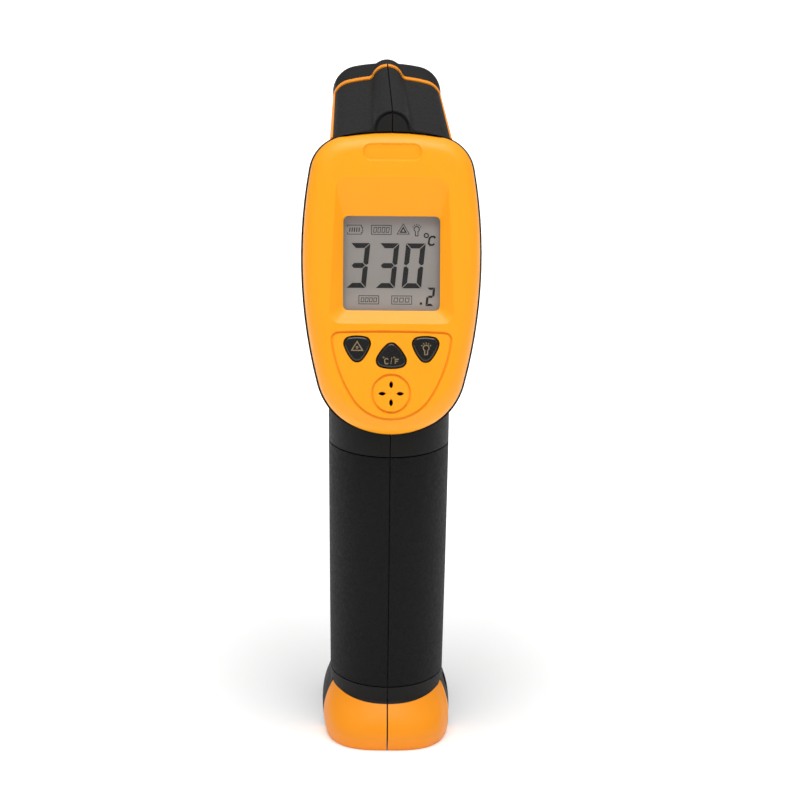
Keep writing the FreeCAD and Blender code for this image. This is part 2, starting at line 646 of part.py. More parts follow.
def make_bezel():
    depth, plate = size("bezel_depth"), size("bezel_plate")
    groove_width, groove_depth = 0.55, 0.4
    solid = prism(face_outline(0.0), -depth, 0.0)
    front = [edge for edge in solid.Edges if abs(edge.BoundBox.ZMin) < 0.01 and abs(edge.BoundBox.ZMax) < 0.01]
    solid = solid.makeFillet(size("bezel_round"), front)
    lip_ring = prism(face_outline(3.8), -depth - 1.0, -plate).cut(prism(face_outline(5.0), -depth - 1.0, -plate))
    lip_ring = lip_ring.cut(slab((-30, 0, -depth - 2.0), (30, 16.0, 0)))
    solid = solid.cut(prism(face_outline(size("bezel_wall")), -depth, -plate)).fuse(lip_ring)
    half = size("window_width") / 2
    cuts = [recess_tool(),
            prism(rounded(block_corners(half, window_low, window_high), 1.3), -depth, 0.0),
            prism(rounded(block_corners(half + 1.3, window_low - 1.3, window_high + 1.3), 1.5), -depth, -2.7),
            label_tool()]
    shield_shape = (24.8, 3.5, 14.6, 26.0, (300.0, 2.0, 32.0, 11.0, 12.2))
    island = prism(shield(groove_width, *shield_shape), -groove_depth, 1.0)
    cuts.append(prism(shield(0.0, *shield_shape), -groove_depth, 1.0).cut(island))
    for name, across, along, corners, point_up in KEYS:
        tool = prism(key_outline(*corners, point_up, size("key_gap")), -depth, 1.0)
        tool.translate(Vector(across, along, 0))
        cuts.append(tool)
    speaker = Vector(0, size("speaker_row"), 0)
    radius = size("speaker_radius")
    ring = Part.makeCylinder(radius + groove_width, 1.3).cut(Part.makeCylinder(radius, 1.3))
    ring.translate(speaker + Vector(0, 0, -groove_depth))
    cuts.append(ring)
    for turn in range(4):
        tips = [Vector(0, 1.25, 0), Vector(0, 3.0, 0)]
        petal = prism(Part.Wire([Part.Arc(tips[0], Vector(0.45, 2.12, 0), tips[1]).toShape(),
                                 Part.Arc(tips[1], Vector(-0.45, 2.12, 0), tips[0]).toShape()]), -depth, 1.0)
        petal.rotate(Vector(0, 0, 0), Vector(0, 0, 1), 90 * turn)
        petal.translate(speaker)
        cuts.append(petal)
    bosses = [Part.makeCylinder(2.0, size("board_depth") - plate + 0.2, Vector(x, y, -size("board_depth")))
              for x, y in BOARD_SCREWS]
    pilots = [Part.makeCylinder(0.85, 5.0, Vector(x, y, -size("board_depth"))) for x, y in BOARD_SCREWS]
    return feature("rear_bezel", solid.cut(cuts).fuse(bosses).cut(pilots), FACE)


def face_block(label, width, height, thickness, front, along, corner="1.0"):
    """A plate parallel to the face; all arguments but the label are expressions."""
    body = new_body(label, FACE)
    sketch = new_sketch(body, "outline", "-(%s)" % front, "0", along)
    draw_rectangle(sketch, width, height)
    plate = pad(body, sketch, thickness, downwards=True)
    round_edges(body, plate, corner, is_upright)
    return body


def make_display():
    face_block("display_window", cell("window_width") + " + 2.2", cell("window_height") + " + 2.2",
               cell("window_thickness"), cell("window_recess") + " + 0.5", cell("window_centre"))
    glass_front = "%s + %s + 0.6" % (cell("window_recess"), cell("window_thickness"))
    face_block("lcd_glass", cell("window_width") + " + 1.2", cell("window_height") + " + 1.5",
               cell("glass_thickness"), glass_front, cell("window_centre"), "0.4")
    light_front = "%s + %s + 0.05" % (glass_front, cell("glass_thickness"))
    face_block("lcd_backlight", cell("window_width") + " - 0.4", cell("window_height") + " - 3.3",
               cell("backlight_thickness"), light_front, cell("window_centre"), "0.6")
    strips = new_body("lcd_connectors", FACE)
    for end, way in (("lower", "-"), ("upper", "+")):
        along = "%s %s (%s / 2 - 0.4)" % (cell("window_centre"), way, cell("window_height"))
        sketch = new_sketch(strips, end, "-" + cell("board_depth"), "0", along)
        draw_rectangle(sketch, cell("window_width") + " - 1", "1.8")
        pad(strips, sketch, "%s - (%s) - %s" % (cell("board_depth"), glass_front, cell("glass_thickness")))


def make_board():
    front, thickness = -size("board_depth"), size("board_thickness")
    board = prism(shield(0.0, 61.0, 6.2, 14.2, 40.0, (30.0, 6.0, 160.0, 7.0, 13.4)), front - thickness, front)
    holes = [Part.makeCylinder(1.0, 4.0, Vector(x, y, front - 2.0)) for x, y in BOARD_SCREWS]
    feature("main_board", board.cut(holes), FACE)
    back = "%s + %s" % (cell("board_depth"), cell("board_thickness"))
    face_block("microcontroller", "9", "9", "1.2", back, "41", "0.5")
    face_block("sensor_amplifier", "5", "4", "1.1", back, "31", "0.3")


def make_key(label, across, along, corners, point_up):
    """Cap through the bezel, flange behind it and a stem over the dome."""
    top, plate, dome_top, slack = 0.3, size("bezel_plate"), MAT_THICKNESS + DOME_HEIGHT, 0.15
    cap = prism(key_outline(*corners, point_up), -plate - 0.15, top)
    rim = [edge for edge in cap.Edges if abs(edge.BoundBox.ZMin - top) < 0.01]
    flange = prism(key_outline(*corners, point_up, 0.8), -plate - 1.0, -plate - 0.15)
    stem_end = dome_top + slack + size("key_travel") - size("board_depth")
    stem = Part.makeCylinder(1.5, -plate - 0.95 - stem_end, Vector(0, 0, stem_end))
    solid = cap.makeFillet(0.6, rim).fuse([flange, stem])
    feature(label, solid, FACE.multiply(Placement(Vector(across, along, 0), Rotation())))


def make_keypad_mat():
    body = new_body("keypad_mat", FACE)
    base = new_sketch(body, "base", "-" + cell("board_depth"), "0", cell("key_row") + " - 0.6")
    draw_rectangle(base, "24.4", "9.4")
    pad(body, base, str(MAT_THICKNESS))
    for name, across, along, corners, point_up in KEYS:
        dome = new_sketch(body, name + "_dome", "%s - %s" % (MAT_THICKNESS, cell("board_depth")), str(across),
                          str(along))
        draw_circle(dome, "4.4")
        pad(body, dome, str(DOME_HEIGHT))


def make_buzzer():
    body = new_body("buzzer", FACE)
    can = new_sketch(body, "can", "-" + cell("board_depth"), "0", cell("speaker_row"))
    draw_circle(can, cell("buzzer_diameter"))
    round_edges(body, pad(body, can, cell("buzzer_thickness")), "0.5",
                at_height(size("buzzer_thickness") - size("board_depth")))
    mouth = new_sketch(body, "mouth", "%s - %s" % (cell("buzzer_thickness"), cell("board_depth")), "0",
                       cell("speaker_row"))
    draw_circle(mouth, "2.0")
    pocket(body, mouth, "1.0")


def screw_solid(radius, length, head_radius, head_height):
    """A cross-head screw along -Z, with its head above the origin."""
    head = Part.makeCylinder(head_radius, head_height)
    crown = head.makeFillet(head_height * 0.45, [head.Edges[0]])
    cross = slab((-head_radius * 0.6, -0.35, head_height * 0.4), (head_radius * 0.6, 0.35, head_height * 2))
    other = slab((-0.35, -head_radius * 0.6, head_height * 0.4), (0.35, head_radius * 0.6, head_height * 2))
    shank = Part.makeCylinder(radius, length, Vector(0, 0, -length))
    tip = Part.makeCone(radius * 0.4, radius, radius, Vector(0, 0, -length - radius))
    return crown.cut([cross, other]).fuse([shank, tip])


def make_board_screws():
    back = -size("board_depth") - size("board_thickness")
    screws = []
    for x, y in BOARD_SCREWS:
        screw = screw_solid(0.84, 4.6, 1.8, 1.1)
        screws.append(placed(screw, Placement(Vector(x, y, back), Rotation(Vector(1, 0, 0), 180))))
    feature("board_screws", Part.makeCompound(screws), FACE)


# ---------------------------------------------------------------- nose and optics

def make_nose_ring():
    front, drop, depth = size("nose_length"), size("optic_drop"), size("lens_depth")
    lip = 2.2
    ring = prism(barrel_outline(0.0, size("nose_shoulder"), 7.0), -lip, 0.0)
    rim = [edge for edge in ring.Edges if abs(edge.BoundBox.ZMin) < 0.01 and abs(edge.BoundBox.ZMax) < 0.01]
    ring = ring.makeChamfer(0.8, rim)
    back, fore = barrel_outline(0.25, size("barrel_shoulder"), 5.0), barrel_outline(0.0, size("nose_shoulder"), 7.0)
    back.translate(Vector(0, 0, -front))
    fore.translate(Vector(0, 0, -lip))
    ring = ring.fuse(Part.makeLoft([back, fore], True, True))
    spigot = prism(barrel_outline(size("wall") + 0.15, size("barrel_shoulder"), 5.0), -front - 3.5, -front)
    mouth = Part.makeCone(8.3, 9.9, depth, Vector(0, drop, -depth))
    seat = Part.makeCylinder(size("lens_diameter") / 2 + 0.25, front + 4, Vector(0, drop, -front - 4 - depth))
    seat = seat.common(slab((-20, -20, -30), (20, 20, -depth)))
    beam = Vector(0, -size("laser_offset"), 0)
    window_seat = Part.makeCylinder(2.6, 3.0, beam + Vector(0, 0, -1.4))
    beam_hole = Part.makeCylinder(1.6, 15.0, beam + Vector(0, 0, -13.0))
    return feature("nose_ring", ring.fuse(spigot).cut([mouth, seat, window_seat, beam_hole]), BARREL)


def barrel_disc(label, depth, thickness, diameter, across="0", edge="0.3"):
    """A disc across the barrel; its front lies at the given depth behind the nose."""
    body = new_body(label, BARREL)
    sketch = new_sketch(body, "disc", "-(%s)" % depth, "0", across)
    draw_circle(sketch, diameter)
    round_edges(body, pad(body, sketch, thickness, downwards=True), edge, lambda item: item.Closed)
    return body


def barrel_tube(label, stages):
    """A turned tube on the optical axis: (depth, length, outer and inner diameter) for each stage."""
    body = new_body(label, BARREL)
    for i, (depth, length, outer, inner) in enumerate(stages):
        sketch = new_sketch(body, "stage%d" % i, "-(%s)" % depth, "0", cell("optic_drop"))
        draw_circle(sketch, outer)
        draw_circle(sketch, inner)
        pad(body, sketch, length, downwards=True)
    return body


def make_optics():
    drop = cell("optic_drop")
    lens_back = "%s + %s" % (cell("lens_depth"), cell("lens_thickness"))
    barrel_disc("lens", cell("lens_depth"), cell("lens_thickness"), cell("lens_diameter"), drop)
    ring = cell("lens_diameter") + " + 0.4"
    barrel_tube("lens_retainer", [(lens_back, "2", ring, cell("lens_diameter") + " - 2.4")])
    tube_front = lens_back + " + 2"
    barrel_tube("optic_tube", [(tube_front, "1.5", ring, "13"),
                               (tube_front + " + 1.5", cell("tube_length") + " - 3.5", "15", "13"),
                               ("%s + %s - 2" % (tube_front, cell("tube_length")), "2", "15",
                                cell("sensor_diameter") + " + 0.2")])
    tube_back = "%s + %s" % (tube_front, cell("tube_length"))
    sensor = barrel_disc("thermopile_sensor", "%s + 0.5 - %s" % (tube_back, cell("sensor_height")),
                         cell("sensor_height"), cell("sensor_diameter"), drop)
    flange = new_sketch(sensor, "flange", "-(%s)" % tube_back, "0", drop)
    draw_circle(flange, cell("sensor_diameter") + " + 0.9")
    pad(sensor, flange, "0.5", downwards=True)
    for i in range(4):
        turn = math.radians(45 + 90 * i)
        pin = new_sketch(sensor, "pin%d" % i, "-(%s + 0.4)" % tube_back, str(2.5 * math.cos(turn)),
                         "%s + %s" % (drop, 2.5 * math.sin(turn)))
        draw_circle(pin, "0.45")
        pad(sensor, pin, "2.0", downwards=True)
    barrel_disc("sensor_board", tube_back + " + 2.4", cell("board_thickness"), "20", drop)


def make_laser():
    rise = "-" + cell("laser_offset")
    barrel_disc("laser_window", "0.6", "0.8", "5.0", rise, "0.15")
    module = barrel_disc("laser_module", cell("nose_length") + " + 3.6", cell("laser_length"),
                         cell("laser_diameter"), rise)
    nozzle = new_sketch(module, "nozzle", "-(%s + 3.6)" % cell("nose_length"), "0", rise)
    draw_circle(nozzle, "2.6")
    pocket(module, nozzle, "3.0")


# ---------------------------------------------------------------- trigger, switch and door

def make_trigger():
    """A blade with a finger hollow and a round tip, hung on its pin; (ahead, up) from the pin."""
    side, tip_r = -size("trigger_width") / 2, 1.9
    top, hollow_middle, hollow_end = Vector(side, 6.9, 1.4), Vector(side, 8.1, -10.0), Vector(side, 12.3, -22.6)
    back = [Vector(side, y, z) for y, z in ((-2.0, -24.0), (-3.0, -22.0), (-3.0, -12.0), (-3.8, -10.0),
                                            (-3.8, -6.0), (-3.0, -4.0), (-1.5, 1.4))]
    hollow = Part.Arc(top, hollow_middle, hollow_end).toShape()
    inwards = (hollow_end - hollow.Curve.Center).normalize()
    tip = hollow_end + inwards * tip_r
    first = math.atan2(-inwards.z, -inwards.y)
    reach = back[0] - tip
    last = math.atan2(reach.z, reach.y) + math.acos(tip_r / math.hypot(reach.y, reach.z))
    last -= 2 * math.pi if last > first else 0

    def on_tip(angle):
        return tip + Vector(0, tip_r * math.cos(angle), tip_r * math.sin(angle))

    edges = [hollow, Part.Arc(hollow_end, on_tip((first + last) / 2), on_tip(last)).toShape(),
             Part.makeLine(on_tip(last), back[0])]
    edges += [Part.makeLine(start, end) for start, end in zip(back, back[1:] + [top])]
    blade = Part.Face(Part.Wire(edges)).extrude(Vector(size("trigger_width"), 0, 0))
    touched = [edge for edge in blade.Edges if edge.BoundBox.XLength < 0.01
               and (edge.CenterOfMass.y > 7.0 or edge.CenterOfMass.z < -24.0)]
    blade = blade.makeFillet(1.4, touched)
    boss = rod(3.2, (side, 0, 0), size("trigger_width"))
    bore = rod(size("trigger_pin_diameter") / 2 + 0.05, (-10, 0, 0), 20)
    feature("trigger", blade.fuse(boss).cut(bore), Placement(Vector(0, pivot_y, pivot_z), Rotation()))


def cross_pin(label, diameter, length, y, z):
    """A steel pin along X through a point."""
    pin = doc.addObject("Part::Cylinder", label)
    bind(pin, Radius=cell(diameter) + " / 2", Height=str(length))
    pin.Placement = Placement(Vector(-length / 2, y, z), Rotation(Vector(0, 1, 0), 90))
    return keep(pin, label)


def make_switch():
    """Micro switch on the bracket behind the trigger, with its plunger."""
    y, z = lies_ahead(33.0), pivot_z - size("plunger_drop")
    towards_trigger = Placement(Vector(0, y, z), Rotation(Vector(1, 0, 0), -90))
    body = new_body("trigger_switch", towards_trigger)
    case = new_sketch(body, "case")
    draw_rectangle(case, "6.2", "6.2")
    round_edges(body, pad(body, case, "4.6"), "0.5", is_upright)
    well = new_sketch(body, "well", "4.6")
    draw_circle(well, "2.9")
    pocket(body, well, "2.9")
    plunger = new_body("switch_plunger", towards_trigger.multiply(Placement(Vector(0, 0, 3.0), Rotation())))
    shaft = new_sketch(plunger, "shaft")
    draw_circle(shaft, "2.7")
    round_edges(plunger, pad(plunger, shaft, "4.05"), "0.4", at_height(4.05))


def make_trigger_spring():
    radius, wire_radius, length, turns = 2.2, 0.3, 7.7, 5
    helix = Part.makeHelix((length - 2 * wire_radius) / turns, length - 2 * wire_radius, radius)
    helix.translate(Vector(0, 0, wire_radius))
    section = Part.Wire(Part.makeCircle(wire_radius, Vector(radius, 0, wire_radius), Vector(0, 1, 0)))
    coil = Part.Wire(helix).makePipeShell([section], True, True)
    seat = Placement(Vector(0, lies_ahead(33.1), pivot_z - size("spring_drop")), Rotation(Vector(1, 0, 0), -90))
    feature("trigger_spring", coil, seat)


def make_door():
    panel = handle(0.0).cut(handle(size("door_thickness"))).common(door_zone(0.0))
    knuckle = rod(knuckle_r, (-knuckle_half, hinge_y, hinge_z), 2 * knuckle_half).common(handle(0.0))
    thumb_grooves = [slab((-5.0, lies_ahead(42.0), z), (5.0, lies_ahead(60.0), z + 0.8)) for z in (57, 59, 61, 63)]
    thumb_depth = handle(0.45)
    grooves = [groove.cut(thumb_depth) for groove in thumb_grooves]
    bore = rod(size("door_pin_diameter") / 2 + 0.05, (-10, hinge_y, hinge_z), 20)
    swing_r = 3.6
    heels = [rod(swing_r, (start, hinge_y, hinge_z), 6.0) for start in (knuckle_half, -knuckle_half - 6.0)]
    feature("battery_door", panel.fuse(knuckle).cut(grooves + heels + [bore]))


# ---------------------------------------------------------------- battery and leads

battery_base = Placement(Vector(0, lies_ahead(23.3), 15.9), Rotation(Vector(1, 0, 0), -size("battery_tilt")))


def make_battery():
    body = new_body("battery", battery_base)
    can = new_sketch(body, "can")
    draw_rectangle(can, cell("battery_width"), cell("battery_depth"))
    block = pad(body, can, cell("battery_height"))
    round_edges(body, block, "2.5", is_upright)
    for name, along, diameter in (("plus", "6.35", "5.6"), ("minus", "-6.35", "6.4")):
        stud = new_sketch(body, name, cell("battery_height"), "0", along)
        draw_circle(stud, diameter)
        pad(body, stud, "2.2")
    snap = new_body("battery_snap", battery_base)
    plate = new_sketch(snap, "plate", cell("battery_height") + " + 0.1")
    draw_rectangle(plate, cell("battery_width") + " - 3",
                   cell("battery_depth") + " - 2")
    round_edges(snap, pad(snap, plate, "3.2"), "3.0", is_upright)
    for name, along in (("plus", "6.35"), ("minus", "-6.35")):
        socket = new_sketch(snap, name, cell("battery_height") + " + 0.1", "0", along)
        draw_circle(socket, "6.6")
        pocket(snap, socket, "2.3", upwards=True)


def lead(label, route, diameter):
    """A round lead along straight runs joined by tangent arcs, each as large as its runs allow."""
    path, last = [], route[0]
    for i in range(1, len(route) - 1):
        into, out = route[i] - route[i - 1], route[i + 1] - route[i]
        turn = into.getAngle(out)
        cut_back = 0.45 * min(into.Length, out.Length)
        into.normalize()
        out.normalize()
        start, end = route[i] - into * cut_back, route[i] + out * cut_back
        radius = cut_back / math.tan(turn / 2)
        inward = (out - into).normalize()
        middle = route[i] + inward * (radius / math.cos(turn / 2) - radius)
        path += [Part.makeLine(last, start), Part.Arc(start, middle, end).toShape()]
        last = end
    path.append(Part.makeLine(last, route[-1]))
    first = (route[1] - route[0]).normalize()
    section = Part.Wire(Part.makeCircle(diameter / 2, route[0], first))
    return feature(label, Part.Wire(path).makePipeShell([section], True, True))


def make_leads():
    def on_board(across, along, off=0.0):
        depth = size("board_depth") + size("board_thickness") + off
        return FACE.multVec(Vector(across, along, -depth))

    def in_barrel(across, down, behind):
        return BARREL.multVec(Vector(across, down, -behind))

    snap_top = size("battery_height") + 3.31
    for label, way in (("battery_lead_red", 1), ("battery_lead_black", -1)):
        lead(label, [battery_base.multVec(Vector(3 * way, 2, snap_top)),
                     Vector(3.2 * way, lies_ahead(28.6), 75.5), Vector(3.8 * way, lies_ahead(26.6), 84.5),
                     Vector(4.4 * way, lies_ahead(24.8), 91.0), on_board(4.6 * way, 24.5, 5.0),
                     on_board(4.6 * way, 24.5)], size("lead_diameter"))
    tube_back = size("lens_depth") + size("lens_thickness") + 2 + size("tube_length")
    board_back = tube_back + 2.4 + size("board_thickness")
    lead("sensor_cable", [in_barrel(0, 4.0, board_back), in_barrel(0, 4.0, board_back + 6),
                          in_barrel(-0.6, 5.0, board_back + 13), on_board(-0.8, 54.0, 6.5),
                          on_board(-0.8, 54.0)], 2.0)
    laser_back = size("nose_length") + 3.6 + size("laser_length")
    lead("laser_lead", [in_barrel(0, -size("laser_offset"), laser_back),
                        in_barrel(0, -size("laser_offset"), laser_back + 7),
                        in_barrel(2.0, -12.0, laser_back + 16), in_barrel(4.5, -11.0, laser_back + 26),
                        in_barrel(5.5, -7.5, laser_back + 35), on_board(6.0, 55.0, 6.0), on_board(6.0, 55.0)], 1.6)


def make_housing_screws():
    screws = []
    for y, z in SCREW_PLACES:
        screw = screw_solid(screw_r, size("screw_length") - screw_r, size("screw_head_diameter") / 2, 2.0)
        screws.append(placed(screw, Placement(Vector(head_seat, lies_ahead(y), z), Rotation(Vector(0, 1, 0), 90))))
    feature("housing_screws", Part.makeCompound(screws))


make_bezel()
make_display()
make_board()
for key in KEYS:
    make_key(*key)
make_keypad_mat()
make_buzzer()
make_board_screws()
make_nose_ring()
make_optics()
make_laser()
make_trigger()
cross_pin("trigger_pin", "trigger_pin_diameter", 18.4, pivot_y, pivot_z)
make_switch()
make_trigger_spring()
make_door()
cross_pin("door_hinge_pin", "door_pin_diameter", 18.6, hinge_y, hinge_z)
make_battery()
make_leads()
make_housing_screws()


def report_state():
    failed = [obj.Name for obj in doc.Objects if "Invalid" in obj.State or "Error" in obj.State]
    bad = [obj.Label for obj in subparts if obj.Shape.isNull() or not obj.Shape.isValid()]
    if failed or bad:
        raise RuntimeError("failed objects %s, bad shapes %s" % (failed, bad))


doc.recompute()
report_state()
for obj in subparts:
    obj.Shape.exportStep("parts/%s.step" % obj.Label)
    print(obj.Label, len(obj.Shape.Solids), round(obj.Shape.Volume, 1))
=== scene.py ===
import json
import math

import bmesh
import bpy
from mathutils import Matrix, Vector


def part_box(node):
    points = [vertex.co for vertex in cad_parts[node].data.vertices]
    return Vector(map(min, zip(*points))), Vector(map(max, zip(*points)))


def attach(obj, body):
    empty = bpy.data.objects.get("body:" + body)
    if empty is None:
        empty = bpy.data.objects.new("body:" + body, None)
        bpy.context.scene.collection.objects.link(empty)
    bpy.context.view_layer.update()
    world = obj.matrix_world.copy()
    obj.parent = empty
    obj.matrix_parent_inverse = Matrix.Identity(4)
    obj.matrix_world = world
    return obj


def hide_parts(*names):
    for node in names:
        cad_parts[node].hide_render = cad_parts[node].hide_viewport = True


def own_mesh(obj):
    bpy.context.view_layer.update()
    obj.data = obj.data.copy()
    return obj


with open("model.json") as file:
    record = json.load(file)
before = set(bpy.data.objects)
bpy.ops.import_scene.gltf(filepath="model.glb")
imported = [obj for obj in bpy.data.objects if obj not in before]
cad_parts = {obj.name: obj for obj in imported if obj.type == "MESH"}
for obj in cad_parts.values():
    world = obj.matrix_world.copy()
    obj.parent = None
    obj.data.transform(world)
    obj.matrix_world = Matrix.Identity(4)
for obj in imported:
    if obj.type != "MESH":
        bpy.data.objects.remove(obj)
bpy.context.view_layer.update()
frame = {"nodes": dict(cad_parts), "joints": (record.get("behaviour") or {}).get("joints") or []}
MM = 0.001


# ---------------------------------------------------------------- camera, floor and light

CAMERA_PLACE = Vector((-16.5, -781.2, 275.6)) * MM
CAMERA_YAW, CAMERA_DOWN, CAMERA_ROLL = (math.radians(a) for a in (1.450, 14.42, 0.75))
CAMERA_LENS, SENSOR = 144.8, 36.0


def make_camera():
    ahead = Vector((math.sin(CAMERA_YAW) * math.cos(CAMERA_DOWN), math.cos(CAMERA_YAW) * math.cos(CAMERA_DOWN),
                    -math.sin(CAMERA_DOWN)))
    right = Vector((math.cos(CAMERA_YAW), -math.sin(CAMERA_YAW), 0))
    up = right.cross(ahead)
    right, up = (right * math.cos(CAMERA_ROLL) + up * math.sin(CAMERA_ROLL),
                 up * math.cos(CAMERA_ROLL) - right * math.sin(CAMERA_ROLL))
    data = bpy.data.cameras.new("camera")
    data.lens, data.sensor_width = CAMERA_LENS, SENSOR
    data.clip_start, data.clip_end = 0.01, 20.0
    camera = bpy.data.objects.new("camera", data)
    camera.matrix_world = Matrix.Translation(CAMERA_PLACE) @ Matrix((right, up, -ahead)).transposed().to_4x4()
    bpy.context.scene.collection.objects.link(camera)
    bpy.context.scene.camera = camera


def soft_light(name, place, target, width, height, power):
    data = bpy.data.lights.new(name, "AREA")
    data.shape, data.size, data.size_y, data.energy = "RECTANGLE", width, height, power
    light = bpy.data.objects.new(name, data)
    light.location = place
    light.rotation_euler = (Vector(target) - Vector(place)).to_track_quat("-Z", "Y").to_euler()
    bpy.context.scene.collection.objects.link(light)


def make_world():
    """A studio lit from above: bright overhead, dim at the horizon, and white where it is seen directly."""
    world = bpy.data.worlds.new("studio")
    bpy.context.scene.world = world
    world.use_nodes = True
    nodes, links = world.node_tree.nodes, world.node_tree.links
    lit = nodes["Background"]
    lit.inputs["Color"].default_value = (1, 1, 1, 1)
    split, height = nodes.new("ShaderNodeSeparateXYZ"), nodes.new("ShaderNodeMapRange")
    links.new(nodes.new("ShaderNodeTexCoord").outputs["Generated"], split.inputs[0])
    links.new(split.outputs["Z"], height.inputs["Value"])
    for name, number in (("From Min", 0.0), ("From Max", 0.9), ("To Min", 0.05), ("To Max", 0.65)):
        height.inputs[name].default_value = number
    links.new(height.outputs["Result"], lit.inputs["Strength"])
    seen, chosen = nodes.new("ShaderNodeBackground"), nodes.new("ShaderNodeMixShader")
    ray = nodes.new("ShaderNodeLightPath")
    seen.inputs["Color"].default_value = (1, 1, 1, 1)
    links.new(ray.outputs["Is Camera Ray"], chosen.inputs["Fac"])
    links.new(lit.outputs[0], chosen.inputs[1])
    links.new(seen.outputs[0], chosen.inputs[2])
    links.new(chosen.outputs[0], nodes["World Output"].inputs["Surface"])


def soft_sun(name, lean, strength, angle):
    """Even light from above that reaches the far floor too; lean in degrees about X and Y."""
    data = bpy.data.lights.new(name, "SUN")
    data.energy, data.angle = strength, math.radians(angle)
    light = bpy.data.objects.new(name, data)
    light.rotation_euler = (math.radians(lean[0]), math.radians(lean[1]), 0)
    bpy.context.scene.collection.objects.link(light)


def make_floor():
    """Pale paper, which is lit more evenly further from the object."""
    mesh = bpy.data.meshes.new("floor")
    reach = 4.0
    mesh.from_pydata([(-reach, -reach, 0), (reach, -reach, 0), (reach, reach, 0), (-reach, reach, 0)], [],
                     [(0, 1, 2, 3)])
    floor = bpy.data.objects.new("floor", mesh)
    bpy.context.scene.collection.objects.link(floor)
    finish = Finish("floor_paper", Specular_IOR_Level=0.0, Emission_Color=(1, 1, 1, 1))
    finish.colour((0.91, 0.91, 0.91), (0.93, 0.93, 0.93), finish.noise(30))
    away = finish.nodes.new("ShaderNodeVectorMath")
    away.operation = "LENGTH"
    finish.links.new(finish.place, away.inputs[0])
    near_glow, far_glow, far = 0.06, 0.6, 0.3
    glow = finish.span(away.outputs["Value"], 0.0, far, near_glow, far_glow)
    finish.links.new(glow, finish.shader.inputs["Emission Strength"])
    floor.data.materials.append(finish.material)


# ---------------------------------------------------------------- materials

